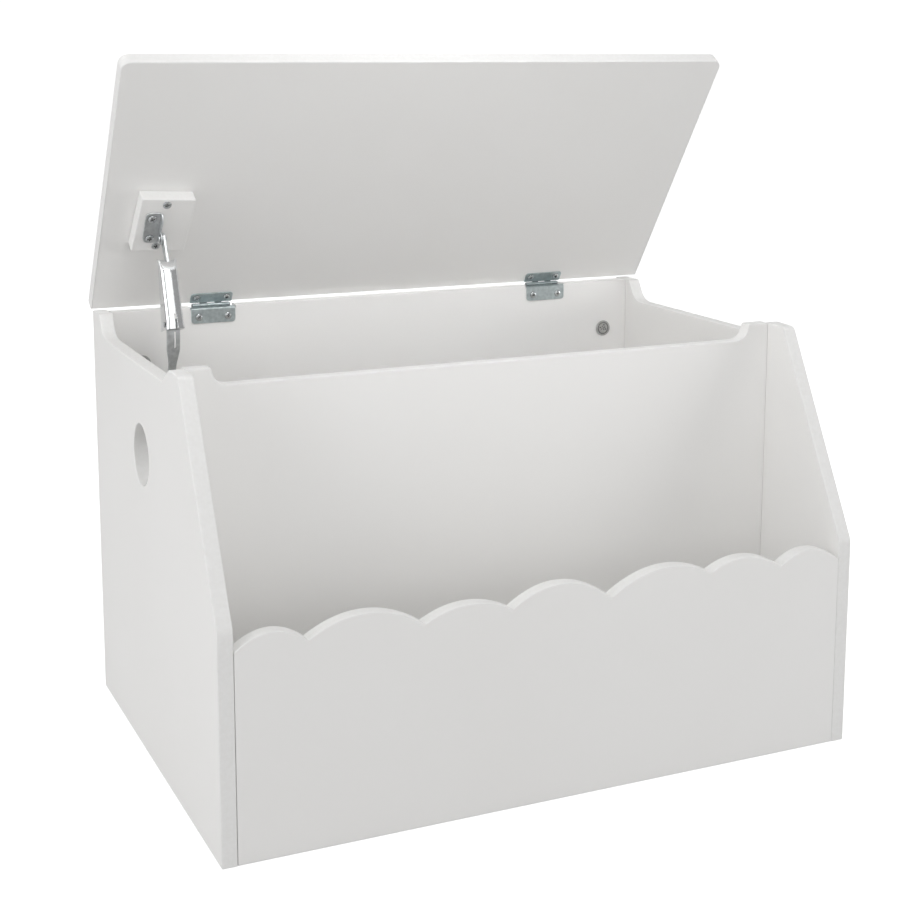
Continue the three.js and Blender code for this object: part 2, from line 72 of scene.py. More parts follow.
SIDE_FRONT_Z = 216
SLOPE_TOP_Y = -122
DIP_Z, DIP_REAR_Y, DIP_FOOT_Y, DIP_FRONT_Y = 406, 198, 183, -62
HUMP_START_Y = -93
HOLE_Y, HOLE_Z, HOLE_R = 25.5, 315, 31
DIVIDER_DIP_Z = 404
VALLEYS = [(-252, 198), (-140, 196), (-51, 197), (55, 194), (167, 203.5), (250, 199)]
VALLEY_LEFT_Z, VALLEY_RIGHT_Z = 197, 198
CRESTS = [211, 215, 208.5, 215, 215.5, 214, 212]

LEAF_T, KNUCKLE_R = 1.3, 2.4
KNUCKLES, KNUCKLE_SPAN = 5, 42
ROLL_R = KNUCKLE_R - LEAF_T / 2         # middle radius of a knuckle
LEAF_HALF = 25
CRANK = 11.1                  # front of the case leaf before the pin
CRANK_BEND = 1.65             # middle radius of the fold
HINGE_BORE_R = 1.9
HINGE_SCREW = (3.8, 1.5, 1.6, 1.4)      # head radius, head height, shank radius, shank length
LEAF_TAIL, LEAF_DROP, LEAF_CORNER = -16.2, 18.5, 3.5
LID_SCREW_X, LID_SCREW_Y = 17, -10        # from the pin's middle, lid leaf
CASE_SCREW_X, CASE_SCREW_Z = 16.5, -11.4  # from the pin's middle, case leaf
UNDERSIDE = KNUCKLE_R + GAP   # lid underside above the pin, in lid axes
LID_R = 10

BLOCK_X, BLOCK_Y, BLOCK_W, BLOCK_L, BLOCK_T = -279, -128.4, 57, 69.3, 15
BLOCK_TURN = radians(3.5)
BLOCK_SCREWS_XY = [(-278.4, -156.3), (-284, -101.7)]
PIVOT_Y, PIVOT_H = -118.6, 24
STAY_X = -281
FLANGE_X = STAY_X - 0.9
PLATE_T = 1.6
PLATE_BORE_R = 2.1
PLATE_SCREW = (4.6, 2.0, 1.8, PLATE_T)
BLOCK_SCREW = (4.5, 1.6, 1.8, 0.2)
BRACKET_LEFT, BRACKET_TOP, BRACKET_FOOT = -299.5, -147, -107.5
BRACKET_SCREW_X, BRACKET_SCREWS_Y = -292.5, (-139.8, -113.6)
FOOT_SCREW_RISE = 18
ARM_T, ARM_EYE_R = 2.5, 2.2
ARM_PLAY = 0.4                # between the bracket's flange and the arm
STAY_PIN_R = 2.0
ELBOW = Vector((93.5, 431.5))
ARM_END = Vector((108.5, 482))
HOUSING_ORIGIN = Vector((81.5, 429))
HOUSING_TILT = atan2(23.5, 63)
HOUSING_HALF, HOUSING_LIP = 9.0, 0.6    # half width, and how far the top edge flares


def box_mm(node):
    low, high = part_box(node)
    return low / MM, high / MM


def middle_mm(node):
    low, high = box_mm(node)
    return (low + high) / 2


PIN = middle_mm("hinge_l_pin")
HALF_DEPTH = box_mm("side_left")[1].y
INNER = box_mm("back_panel")[1].x
LID_AXES = Matrix.Translation((0, PIN.y, PIN.z)) @ Matrix.Rotation(-LID_OPEN, 4, "X")
PIVOT_Z = UNDERSIDE - PIVOT_H
BLOCK_FACE = UNDERSIDE - GAP - BLOCK_T
UPPER = (LID_AXES @ Vector((0, PIVOT_Y, PIVOT_Z))).yz
LOWER = ELBOW - (UPPER - PIN.yz)


def top_line(y):
    """Top edge of the side panels, just under the closed lid."""
    return PIN.z + UNDERSIDE - 1.4 * GAP - (PIN.y - y) * LID_SLOPE


# ------------------------------------------------------------------ node materials
CREVICE_SHADE_REACH = 0.0016              # metres; painted shade darkens metal in gaps narrower than this


def material(name):
    made = bpy.data.materials.new(name)
    made.use_nodes = True
    nodes, links = made.node_tree.nodes, made.node_tree.links
    shader = nodes["Principled BSDF"]

    def add(kind, **settings):
        node = nodes.new(kind)
        for key, value in settings.items():
            setattr(node, key, value)
        return node

    return made, add, links, shader


def noise(add, links, coords, scale, detail=3.0, stretch=None):
    """Noise in metres of object space, stretched along an axis where asked."""
    node = add("ShaderNodeTexNoise")
    node.inputs["Scale"].default_value = scale
    node.inputs["Detail"].default_value = detail
    if stretch:
        mapping = add("ShaderNodeMapping")
        mapping.inputs["Scale"].default_value = stretch
        links.new(coords, mapping.inputs["Vector"])
        coords = mapping.outputs["Vector"]
    links.new(coords, node.inputs["Vector"])
    return node.outputs["Fac"]


def mixed(add, links, factor, first, second):
    node = add("ShaderNodeMix", data_type="RGBA")
    links.new(factor, node.inputs["Factor"])
    for socket, colour in ((6, first), (7, second)):
        if isinstance(colour, tuple):
            node.inputs[socket].default_value = (*colour, 1)
        else:
            links.new(colour, node.inputs[socket])
    return node.outputs[2]


def ranged(add, links, value, low, high, start=0.3, end=0.7):
    node = add("ShaderNodeMapRange")
    node.inputs["From Min"].default_value = start
    node.inputs["From Max"].default_value = end
    node.inputs["To Min"].default_value = low
    node.inputs["To Max"].default_value = high
    links.new(value, node.inputs["Value"])
    return node.outputs["Result"]


def bumped(add, links, height, strength, distance, under=None):
    node = add("ShaderNodeBump")
    node.inputs["Strength"].default_value = strength
    node.inputs["Distance"].default_value = distance
    links.new(height, node.inputs["Height"])
    if under:
        links.new(under, node.inputs["Normal"])
    return node.outputs["Normal"]


def white_paint():
    """Satin lacquer on fibreboard: faint orange peel, duller on the cut edges."""
    made, add, links, shader = material("white_paint")
    coords = add("ShaderNodeTexCoord").outputs["Object"]
    cloud = noise(add, links, coords, 5.0, 4.0)
    grain = noise(add, links, coords, 260.0, 3.0)
    peel = noise(add, links, coords, 620.0, 2.0)
    face = mixed(add, links, ranged(add, links, cloud, 0, 1),
                 (0.895, 0.887, 0.873), (0.908, 0.902, 0.890))
    fibre = mixed(add, links, ranged(add, links, grain, 0, 1),
                  (0.850, 0.845, 0.833), (0.880, 0.877, 0.868))
    edge = add("ShaderNodeAttribute", attribute_name="edge").outputs["Fac"]
    links.new(mixed(add, links, edge, face, fibre), shader.inputs["Base Color"])
    sheen = add("ShaderNodeMath", operation="MULTIPLY_ADD")
    sheen.inputs[1].default_value = 0.10
    links.new(edge, sheen.inputs[0])
    links.new(ranged(add, links, cloud, 0.36, 0.46), sheen.inputs[2])
    links.new(sheen.outputs[0], shader.inputs["Roughness"])
    soft = bumped(add, links, peel, 0.35, 0.00004)
    links.new(bumped(add, links, grain, 0.2, 0.00003, soft), shader.inputs["Normal"])
    shader.inputs["Specular IOR Level"].default_value = 0.42
    return made


def metal(name, dark, light, rough, streak, grain=1400.0, bump=0.00002, stretch=(1, 14, 14)):
    """Plated or cast metal: mottled colour, worn-bright edges, painted shade darkening crevices,
    and fine streaks in roughness and bump."""
    made, add, links, shader = material(name)
    coords = add("ShaderNodeTexCoord").outputs["Object"]
    mottle = noise(add, links, coords, 240.0, 4.0)
    fine = noise(add, links, coords, grain, 3.0, stretch)
    body = mixed(add, links, ranged(add, links, mottle, 0, 1), dark, light)
    # painted shade: ambient occlusion darkens the base colour to near black in crevices and where
    # parts meet
    around = add("ShaderNodeAmbientOcclusion", samples=8)
    around.inputs["Distance"].default_value = CREVICE_SHADE_REACH
    crevice_shade = ranged(add, links, around.outputs["AO"], 1, 0, 0.35, 0.85)
    body = mixed(add, links, crevice_shade, body, tuple(c * 0.12 for c in dark))
    shine = tuple(min(1.0, c * 1.25) for c in light)
    edge = add("ShaderNodeAttribute", attribute_name="edge").outputs["Fac"]
    worn = add("ShaderNodeMath", operation="MULTIPLY")
    links.new(edge, worn.inputs[0])
    links.new(ranged(add, links, mottle, 0.3, 1.0), worn.inputs[1])
    links.new(mixed(add, links, worn.outputs[0], body, shine), shader.inputs["Base Color"])
    links.new(ranged(add, links, fine, rough, rough + streak), shader.inputs["Roughness"])
    coat = bumped(add, links, mottle, 0.3, bump * 2)
    links.new(bumped(add, links, fine, 0.35, bump, coat), shader.inputs["Normal"])
    shader.inputs["Metallic"].default_value = 1.0
    return made


def floor_material():
    made, add, links, shader = material("pale_floor")
    coords = add("ShaderNodeTexCoord").outputs["Object"]
    cloud = noise(add, links, coords, 1.4, 3.0)
    links.new(mixed(add, links, cloud, (0.62, 0.62, 0.62), (0.66, 0.66, 0.66)),
              shader.inputs["Base Color"])
    shader.inputs["Roughness"].default_value = 0.9
    shader.inputs["Specular IOR Level"].default_value = 0.1
    seen = add("ShaderNodeMath", operation="MULTIPLY")
    seen.inputs[1].default_value = 0.8
    links.new(add("ShaderNodeLightPath").outputs["Is Camera Ray"], seen.inputs[0])
    shader.inputs["Emission Color"].default_value = (1, 1, 1, 1)
    links.new(seen.outputs[0], shader.inputs["Emission Strength"])
    return made


MATERIALS = {
    "white_paint": white_paint(),
    "blue_zinc": metal("blue_zinc", (0.44, 0.50, 0.51), (0.58, 0.64, 0.65), 0.30, 0.14),
    "bright_steel": metal("bright_steel", (0.50, 0.52, 0.53), (0.66, 0.68, 0.69), 0.20, 0.12),
    "plain_steel": metal("plain_steel", (0.53, 0.55, 0.56), (0.68, 0.70, 0.71), 0.32, 0.14),
    "chrome": metal("chrome", (0.80, 0.81, 0.82), (0.86, 0.87, 0.88), 0.11, 0.05, 500.0,
                    0.000004),
    "cast_zinc": metal("cast_zinc", (0.46, 0.46, 0.45), (0.60, 0.60, 0.59), 0.34, 0.2, 900.0,
                       0.00004, (1, 1, 1)),
}
BODIES = frame["record"]["behaviour"]["bodies"]
BODY_OF = {node: body for body, nodes in BODIES.items() for node in nodes}
SLOT_OF = {row["node"]: row["material_slot"] for row in frame["record"]["subparts"]}


# ------------------------------------------------------------------ meshes
def mesh_of(verts, faces, edge=None):
    """A bmesh with outward normals and an edge-wear weight on each vertex."""
    bm = bmesh.new()
    wear = bm.verts.layers.float.new("edge")
    made = [bm.verts.new(v) for v in verts]
    for i, vert in enumerate(made):
        vert[wear] = edge[i] if edge else 0.0
    for face in faces:
        if len({made[i] for i in face}) > 2 and not bm.faces.get([made[i] for i in face]):
            bm.faces.new([made[i] for i in face])
    loose = [v for v in bm.verts if not v.link_faces]
    bmesh.ops.delete(bm, geom=loose, context="VERTS")
    bmesh.ops.recalc_face_normals(bm, faces=bm.faces)
    return bm


def stand_in(node, bm, axes=None, bevel=0.0, sharp=38):
    """The finished piece for one CAD node: same body, same slot, the slot's material."""
    if axes:
        bm.transform(axes)
    bm.transform(Matrix.Scale(MM, 4))
    bmesh.ops.recalc_face_normals(bm, faces=bm.faces)
    mesh = bpy.data.meshes.new(node + "_piece")
    bm.to_mesh(mesh)
    bm.free()
    mesh.polygons.foreach_set("use_smooth", [True] * len(mesh.polygons))
    mesh.set_sharp_from_angle(angle=radians(sharp))
    slot = SLOT_OF[node]
    mesh.materials.append(MATERIALS[slot])
    piece = bpy.data.objects.new(node + "_piece", mesh)
    bpy.context.scene.collection.objects.link(piece)
    if bevel:
        mod = piece.modifiers.new("eased", "BEVEL")
        mod.width = bevel * MM
        mod.segments = 2
        mod.limit_method = "ANGLE"
        mod.angle_limit = radians(40)
    normals = piece.modifiers.new("flat_faces", "WEIGHTED_NORMAL")
    normals.keep_sharp = not bevel
    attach(piece, BODY_OF[node])
    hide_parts(node)


def arc(x, y, r, start, end, steps=10):
    """Points round a centre, from one angle to another, both ends included."""
    turns = [start + (end - start) * k / steps for k in range(steps + 1)]
    return [Vector((x + r * cos(a), y + r * sin(a))) for a in turns]


def curve(a, b, c, steps=10):
    """Quadratic curve from a to c, drawn towards b."""
    a, b, c = Vector(a), Vector(b), Vector(c)
    shares = [k / steps for k in range(steps + 1)]
    return [a * (1 - t) ** 2 + b * 2 * t * (1 - t) + c * t * t for t in shares]


def rounded_rect(x0, x1, y0, y1, radii, steps=8):
    """Corner radii from the lower left, anticlockwise."""
    bl, br, tr, tl = radii if isinstance(radii, (tuple, list)) else (radii,) * 4
    corners = [(x0 + bl, y0 + bl, bl, pi), (x1 - br, y0 + br, br, 1.5 * pi),
               (x1 - tr, y1 - tr, tr, 0), (x0 + tl, y1 - tl, tl, 0.5 * pi)]
    points = []
    for x, y, r, start in corners:
        points += arc(x, y, r, start, start + pi / 2, steps) if r else [Vector((x, y))]
    return points


def distinct(points, least=0.04):
    """The points without those closer than least to the one before."""
    kept = []
    for p in points:
        p = Vector(p)
        if not kept or (p - kept[-1]).length > least:
            kept.append(p)
    if (kept[0] - kept[-1]).length <= least:
        kept.pop()
    return kept


def inset(points, distance):
    """The closed outline moved to its left, into the material, by a distance."""
    moved = []
    for i, p in enumerate(points):
        before = (p - points[i - 1]).normalized()
        after = (points[(i + 1) % len(points)] - p).normalized()
        n0, n1 = Vector((-before.y, before.x)), Vector((-after.y, after.x))
        moved.append(p + (n0 + n1) * distance / max(1 + n0.dot(n1), 0.4))
    return moved


def slab(outline, holes, low, high, edge, place, steps=4, square=None):
    """A plate between low and high with rounded edges. place(u, v, w) gives bench coordinates.
    The outline runs anticlockwise, holes clockwise. Points at |u| = square keep a sharp arris."""
    turns = [pi / 2 * k / steps for k in range(steps + 1)]
    first = [(edge * (1 - sin(a)), low + edge * (1 - cos(a))) for a in turns]
    second = [(d, low + high - w) for d, w in reversed(first)]
    levels = first + second
    verts, faces, wear, caps = [], [], [], ([], [])
    rings = [distinct(ring) for ring in [outline, *holes]]

    def moved(ring, distance):
        if square is None:
            return inset(ring, distance)
        return [q if abs(p.x) < square - 0.01 else Vector((p.x, q.y))
                for p, q in zip(ring, inset(ring, distance))]

    for ring in rings:
        base, count = len(verts), len(ring)
        for k, (distance, w) in enumerate(levels):
            verts += [place(p.x, p.y, w) for p in moved(ring, distance)]
            wear += [0.0 if k in (0, len(levels) - 1) else 1.0] * count
            if not k:
                continue
            for i in range(count):
                j = (i + 1) % count
                row = base + (k - 1) * count
                faces.append((row + i, row + j, row + count + j, row + count + i))
        caps[0].extend(range(base, base + count))
        last = base + (len(levels) - 1) * count
        caps[1].extend(range(last, last + count))
    flat = [[p.to_3d() for p in moved(ring, edge)] for ring in rings]
    for tri in tessellate_polygon(flat):
        faces.append(tuple(caps[0][i] for i in tri))
        faces.append(tuple(caps[1][i] for i in tri))
    return mesh_of(verts, faces, wear)


def along_x(y, z, x):
    """This and the next two place a slab whose thickness runs along the named axis."""
    return x, y, z


def along_y(x, z, y):
    return x, y, z


def along_z(x, y, z):
    return x, y, z


def at(x, y, z, rx=0.0, ry=0.0, rz=0.0):
    """A place and a turn, about Z first, then Y, then X."""
    turn = Matrix.Rotation(rx, 4, "X") @ Matrix.Rotation(ry, 4, "Y") @ Matrix.Rotation(rz, 4, "Z")
    return Matrix.Translation((x, y, z)) @ turn


def round_hole(x, y, r, steps=64):
    return arc(x, y, r, 2 * pi, 0, steps)[:-1]


def lathe(profile, steps=32):
    """A body turned about +Z from (radius, z) points, first and last on the axis."""
    verts, rings, faces = [], [], []
    for r, z in profile:
        count = steps if r > 1e-6 else 1
        start = len(verts)
        rings.append([start + k % count for k in range(steps + 1)])
        turns = [2 * pi * k / steps for k in range(count)]
        verts += [(r * cos(a), r * sin(a), z) for a in turns]
    for lower, upper in zip(rings, rings[1:]):
        for k in range(steps):
            corners = [lower[k], lower[k + 1], upper[k + 1], upper[k]]
            faces.append(tuple(dict.fromkeys(corners)))
    return mesh_of(verts, faces)


def tube(inner, outer, low, high, ease=0.3, steps=40):
    """A ring about +Z with eased rims."""
    verts, faces = [], []
    section = [(inner, low + ease), (inner + ease, low),
               (outer - ease, low), (outer, low + ease),
               (outer, high - ease), (outer - ease, high),
               (inner + ease, high), (inner, high - ease)]
    for k in range(steps):
        a = 2 * pi * k / steps
        verts += [(r * cos(a), r * sin(a), z) for r, z in section]
    count = len(section)
    for k in range(steps):
        here, there = k * count, (k + 1) % steps * count
        for i in range(count):
            j = (i + 1) % count
            faces.append((here + i, here + j, there + j, there + i))
    return mesh_of(verts, faces)


def joined(first, second, operation="DIFFERENCE"):
    """Boolean of two bmeshes, both freed."""
    objects = []
    for bm in (first, second):
        mesh = bpy.data.meshes.new("scratch")
        bm.to_mesh(mesh)
        bm.free()
        objects.append(bpy.data.objects.new("scratch", mesh))
        bpy.context.scene.collection.objects.link(objects[-1])
    mod = objects[0].modifiers.new("cut", "BOOLEAN")
    mod.operation = operation
    mod.solver = "EXACT"
    mod.object = objects[1]
    made = bmesh.new()
    made.from_object(objects[0], bpy.context.evaluated_depsgraph_get())
    for scratch in objects:
        mesh = scratch.data
        bpy.data.objects.remove(scratch)
        bpy.data.meshes.remove(mesh)
    return made


def sheet_grid(outer, inner, keep=lambda row, column: True):
    """Folded sheet from two grids of points; cells that keep() refuses are left open."""
    rows, columns = len(outer), len(outer[0])
    flat = [p for row in outer for p in row] + [p for row in inner for p in row]
    total = rows * columns
    cells = {(i, j) for i in range(rows - 1) for j in range(columns - 1) if keep(i, j)}
    faces = []
    for i, j in sorted(cells):
        a, b = i * columns + j, i * columns + j + 1
        d, c = a + columns, b + columns
        faces.append((a, b, c, d))
        faces.append((a + total, b + total, c + total, d + total))
        for p, q, beside in ((a, b, (i - 1, j)), (b, c, (i, j + 1)),
                             (c, d, (i + 1, j)), (d, a, (i, j - 1))):
            if beside not in cells:
                faces.append((p, q, q + total, p + total))
    return mesh_of(flat, faces)


# ------------------------------------------------------------------ boards
def side_outline():
    """Level rear, finger dip, hump and sloped front, anticlockwise from the front foot."""
    half, rear = HALF_DEPTH, box_mm("back_panel")[1].z
    rear_r, foot_rise, foot_run, ease, corner = 3, 10, 17, 4.5, 5
    wall = (DIP_REAR_Y - DIP_FOOT_Y) / (rear - DIP_Z)
    hump = top_line(HUMP_START_Y)
    middle = ((DIP_FRONT_Y + HUMP_START_Y) / 2, (DIP_Z + hump) / 2)
    slope_top = top_line(SLOPE_TOP_Y)
    fall = Vector((-half - SLOPE_TOP_Y, SIDE_FRONT_Z - slope_top)).normalized() * corner
    line = [(-half, 0), (half, 0)]
    line += curve((half, rear - rear_r), (half, rear), (half - rear_r, rear))
    line += curve((DIP_REAR_Y + 2, rear), (DIP_REAR_Y, rear), (DIP_REAR_Y - 2 * wall, rear - 2))
    line += curve((DIP_FOOT_Y + foot_rise * wall, DIP_Z + foot_rise), (DIP_FOOT_Y, DIP_Z),
                  (DIP_FOOT_Y - foot_run, DIP_Z), 18)
    line += curve((DIP_FRONT_Y, DIP_Z), (DIP_FRONT_Y - ease, DIP_Z), middle, 14)
    line += curve(middle, (HUMP_START_Y + ease, hump), (HUMP_START_Y, hump), 14)
    line += curve((SLOPE_TOP_Y + corner, top_line(SLOPE_TOP_Y + corner)),
                  (SLOPE_TOP_Y, slope_top), (SLOPE_TOP_Y + fall.x, slope_top + fall.y))
    line += curve((-half - fall.x, SIDE_FRONT_Z - fall.y), (-half, SIDE_FRONT_Z),
                  (-half, SIDE_FRONT_Z - corner))
    return line


def divider_outline():
    """Plain board whose top edge dips between two raised ends."""
    low, high = box_mm("divider")
    wall, fillet, top = 296, 15, high.z
    right = [(INNER, top)]
    right += curve((wall + 2, top), (wall, top), (wall - 0.4, top - 2), 6)
    right += curve((wall - 0.4, top - 2), (wall - 3, DIVIDER_DIP_Z),
                   (wall - fillet - 3, DIVIDER_DIP_Z), 18)
    left = [(-p[0], p[1]) for p in reversed(right)]
    return [(-INNER, low.z), (INNER, low.z), *right, *left]


def front_outline():
    """Scalloped top edge: one parabola over each pair of neighbouring valleys."""
    ends = [(-INNER, VALLEY_LEFT_Z), *VALLEYS, (INNER, VALLEY_RIGHT_Z)]
    line, steps = [(-INNER, 0), (INNER, 0)], 28
    for i in reversed(range(len(CRESTS))):
        (x0, z0), (x1, z1) = ends[i], ends[i + 1]
        rise = CRESTS[i] - (z0 + z1) / 2
        for k in range(steps, -1, -1):
            t = k / steps
            line.append((x0 + (x1 - x0) * t, z0 + (z1 - z0) * t + rise * (1 - (2 * t - 1) ** 2)))
    return line


def back_outline():
    """Plain board with a pocket in its top edge for each hinge."""
    low, high = box_mm("back_panel")
    seat, pocket = PIN.z - KNUCKLE_R - GAP, LEAF_HALF + 0.6
    line = [(-INNER, low.z), (INNER, low.z), (INNER, high.z)]
    for x in (abs(PIN.x), -abs(PIN.x)):
        line += [(x + pocket, high.z), (x + pocket, seat),
                 (x - pocket, seat), (x - pocket, high.z)]
    return [*line, (-INNER, high.z)]


def board_x(node, outline, holes=()):
    low, high = box_mm(node)
    stand_in(node, slab(outline, holes, low.x, high.x, EDGE, along_x))


def board_y(node, outline):
    low, high = box_mm(node)
    stand_in(node, slab(outline, (), low.y, high.y, EDGE, along_y, square=INNER))


def boards():
    hole = round_hole(HOLE_Y, HOLE_Z, HOLE_R, 120)
    for node in ("side_left", "side_right"):
        board_x(node, side_outline(), [hole])
    board_y("back_panel", back_outline())
    board_y("divider", divider_outline())
    board_y("front_panel", front_outline())
    low, high = box_mm("floor_panel")
    stand_in("floor_panel", slab(rounded_rect(low.x, high.x, low.y, high.y, 0.6), (),
                                 low.z, high.z, 0.5, along_z))
    half = box_mm("lid")[1].x
    sheet = rounded_rect(-half, half, -LID_DEPTH, LID_REAR, (LID_R, LID_R, 0.8, 0.8), 16)
    stand_in("lid", slab(sheet, (), UNDERSIDE, UNDERSIDE + LID_T, LID_EDGE, along_z, 6), LID_AXES)
    sheet = rounded_rect(-BLOCK_W / 2, BLOCK_W / 2, -BLOCK_L / 2, BLOCK_L / 2, EDGE)
    stand_in("lid_block", slab(sheet, (), 0, BLOCK_T, EDGE, along_z),
             LID_AXES @ at(BLOCK_X, BLOCK_Y, BLOCK_FACE, 0, 0, BLOCK_TURN))
    low, high = box_mm("side_block")
    board_x("side_block", rounded_rect(low.y, high.y, low.z, high.z, EDGE))


# ------------------------------------------------------------------ screws, pins and cam locks
def cross(reach, half, depth, top, floor=0.45):
    """Cutter for a driver recess: a plus that narrows downwards."""
    def plus(scale, z):
        a, b = reach * scale, half * (0.4 + 0.6 * scale)
        corners = [(a, -b), (a, b), (b, b), (b, a), (-b, a), (-b, b),
                   (-a, b), (-a, -b), (-b, -b), (-b, -a), (b, -a), (b, -b)]
        return [(x, y, z) for x, y in corners]

    verts = plus(1.0, top + 0.2) + plus(floor, top - depth)
    faces = [tuple(range(12)), tuple(range(12, 24))]
    faces += [(i, (i + 1) % 12, 12 + (i + 1) % 12, 12 + i) for i in range(12)]
    return mesh_of(verts, faces)


def screw(head_r, head_h, shank_r, shank):
    """Pan head seated at z = 0 with a tapered cross recess."""
    crown = [(head_r * cos(a), head_h * (0.35 + 0.65 * sin(a)))
             for a in [pi / 2 * k / 8 for k in range(9)]]
    profile = [(0, -shank), (shank_r - 0.2, -shank), (shank_r, 0.2 - shank), (shank_r, 0),
               (head_r - 0.15, 0), (head_r, 0.15), *crown[:-1], (0, head_h)]
    return joined(lathe(profile, 36), cross(head_r * 0.62, head_r * 0.15, head_h * 0.8, head_h))


TO_FRONT, DOWN = pi / 2, pi     # turns about X that point +Z to the front, or down


def screws():
    for side in "lr":
        x = middle_mm(f"hinge_{side}_pin").x
        for i, share in enumerate((-1, 1)):
            seat = at(x + share * LID_SCREW_X, LID_SCREW_Y, KNUCKLE_R - LEAF_T, DOWN, 0, 0.4 + i)
            stand_in(f"screw_{side}_lid_{i + 1}", screw(*HINGE_SCREW), LID_AXES @ seat)
            seat = at(x + share * CASE_SCREW_X, PIN.y - CRANK, PIN.z + CASE_SCREW_Z,
                      TO_FRONT, 0, 0.6 + i)
            stand_in(f"screw_{side}_case_{i + 1}", screw(*HINGE_SCREW), seat)
    face = BLOCK_FACE - GAP
    for i, y in enumerate(BRACKET_SCREWS_Y):
        seat = at(BRACKET_SCREW_X, y, face - PLATE_T, DOWN, 0, 0.5 + i)
        stand_in(f"screw_bracket_{i + 1}", screw(*PLATE_SCREW), LID_AXES @ seat)
    for i, (x, y) in enumerate(BLOCK_SCREWS_XY):
        stand_in(f"screw_block_{i + 1}", screw(*BLOCK_SCREW),
                 LID_AXES @ at(x, y, face + 0.2, DOWN, 0, 0.3 + i))
    seat_x = box_mm("stay_foot")[0].x + PLATE_T
    for i, dz in enumerate((-FOOT_SCREW_RISE, FOOT_SCREW_RISE)):
        stand_in(f"screw_foot_{i + 1}", screw(*PLATE_SCREW),
                 at(seat_x, LOWER.x, LOWER.y + dz, 0, pi / 2, 0.2))


def turned_x(bm, x, y, z):
    """Turns a body made about +Z to lie along +X at a place."""
    bm.transform(Matrix.Translation((x, y, z)) @ Matrix.Rotation(pi / 2, 4, "Y"))
    return bm


def headed_pin(shank, head, low, high, thick):
    """Riveted pin along +Z: low and high are the inner faces of its domed heads."""
    def dome(z, rise):
        return [(head, z), (head, z + rise * 0.45), (head * 0.86, z + rise * 0.8),
                (head * 0.5, z + rise), (0, z + rise)]
    lower = reversed(dome(low, -thick))
    return lathe([*lower, (shank, low), (shank, high), *dome(high, thick)], 36)


def pins():
    for side in "lr":
        node = f"hinge_{side}_pin"
        low, high = box_mm(node)
        half, thick = (high.x - low.x) / 2, 0.7
        bm = headed_pin(1.0, 1.9, -half + thick, half - thick, thick)
        stand_in(node, turned_x(bm, PIN.x if side == "l" else -PIN.x, PIN.y, PIN.z))
    arm_end = FLANGE_X + ARM_PLAY + ARM_T
    bm = headed_pin(STAY_PIN_R, 3.6, FLANGE_X - PLATE_T - GAP, arm_end + GAP, 1.6)
    stand_in("stay_rivet", turned_x(bm, 0, UPPER.x, UPPER.y))
    low, high = box_mm("stay_elbow_pin")
    thick = 0.4
    bm = headed_pin(STAY_PIN_R, 2.8, low.x + thick, high.x - thick, thick)
    stand_in("stay_elbow_pin", turned_x(bm, 0, ELBOW.x, ELBOW.y))


def cam_lock():
    """Die-cast cam: raised rim, sunk ring, crowned middle with a driver cross and three pips."""
    profile = [(0, 0), (9.3, 0), (9.5, 0.25), (9.5, 0.9), (9.1, 1.4), (7.7, 1.4), (7.4, 1.1),
               (7.2, 0.3), (6.4, 0.3), (6.2, 0.9), (5.7, 1.2), (3.0, 1.36), (0, 1.4)]
    bm = joined(lathe(profile, 56), cross(4.0, 0.95, 1.2, 1.4, 0.6))
    for turn in (0.8, 2.4, 5.4):
        pip = lathe([(0, 0.4), (0.8, 0.45), (1.1, 1.6), (0, 1.6)], 16)
        pip.transform(Matrix.Translation((4.1 * cos(turn), 4.1 * sin(turn), 0)))
        bm = joined(bm, pip)
    return bm


def cams():
    for side in "lr":
        for level in ("top", "low"):
            node = f"cam_back_{side}_{level}"
            mid, high = middle_mm(node), box_mm(node)[1]
            stand_in(node, cam_lock(), at(mid.x, high.y, mid.z, TO_FRONT, 0, 0.5))
            node = f"cam_divider_{side}_{level}"
            mid, low = middle_mm(node), box_mm(node)[0]
            stand_in(node, cam_lock(), at(mid.x, low.y, mid.z, -TO_FRONT, 0, 0.3))


# ------------------------------------------------------------------ hinges
ROLL = ROLL_R * radians(305)             # strip length wrapped round the pin
SHELF = CRANK - LEAF_T / 2 - CRANK_BEND  # flat part of the case leaf, before its fold
FOLD = CRANK_BEND * pi / 2               # strip length in the fold


def leaf_outline(odd, tail, corner, half):
    """Flat leaf: x across, y towards the pin; its fingers reach past y = 0 and roll up."""
    pitch, play = KNUCKLE_SPAN / KNUCKLES, 0.3
    root, shoulder = -2.8, 0.6
    line = arc(half - corner, tail + corner, corner, 1.5 * pi, 2 * pi, 8)
    line += [Vector((half, root - shoulder)), Vector((half - shoulder, root))]
    fingers = [i for i in range(KNUCKLES) if i % 2 == odd]
    for i in reversed(fingers):
        x0 = -KNUCKLE_SPAN / 2 + i * pitch + play / 2
        x1 = x0 + pitch - play
        line += [Vector((x1, root)), Vector((x1, ROLL)), Vector((x0, ROLL)), Vector((x0, root))]
    line += [Vector((-half + shoulder, root)), Vector((-half, root - shoulder))]
    line += arc(-half + corner, tail + corner, corner, pi, 1.5 * pi, 8)
    return line


def roll_up(bm, fold, roll_steps=16, fold_steps=8):
    """Cuts the flat leaf along the folds, then moves each point by fold(y, depth)."""
    cuts = [ROLL * k / roll_steps for k in range(roll_steps)]
    cuts += [-SHELF - FOLD * k / fold_steps for k in range(fold_steps + 1)]
    for y in cuts:
        geom = list(bm.verts) + list(bm.edges) + list(bm.faces)
        bmesh.ops.bisect_plane(bm, geom=geom, plane_co=(0, y, 0), plane_no=(0, 1, 0))
    for vert in bm.verts:
        y, z = fold(vert.co.y, vert.co.z)
        vert.co.y, vert.co.z = y, z
    return bm


def fold_lid_leaf(y, depth):
    """depth 0 lies next to the pin, LEAF_T on the lid's side."""
    r = KNUCKLE_R - LEAF_T + depth
    if y <= 0:
        return y, r
    turn = y / ROLL_R
    return r * sin(turn), r * cos(turn)


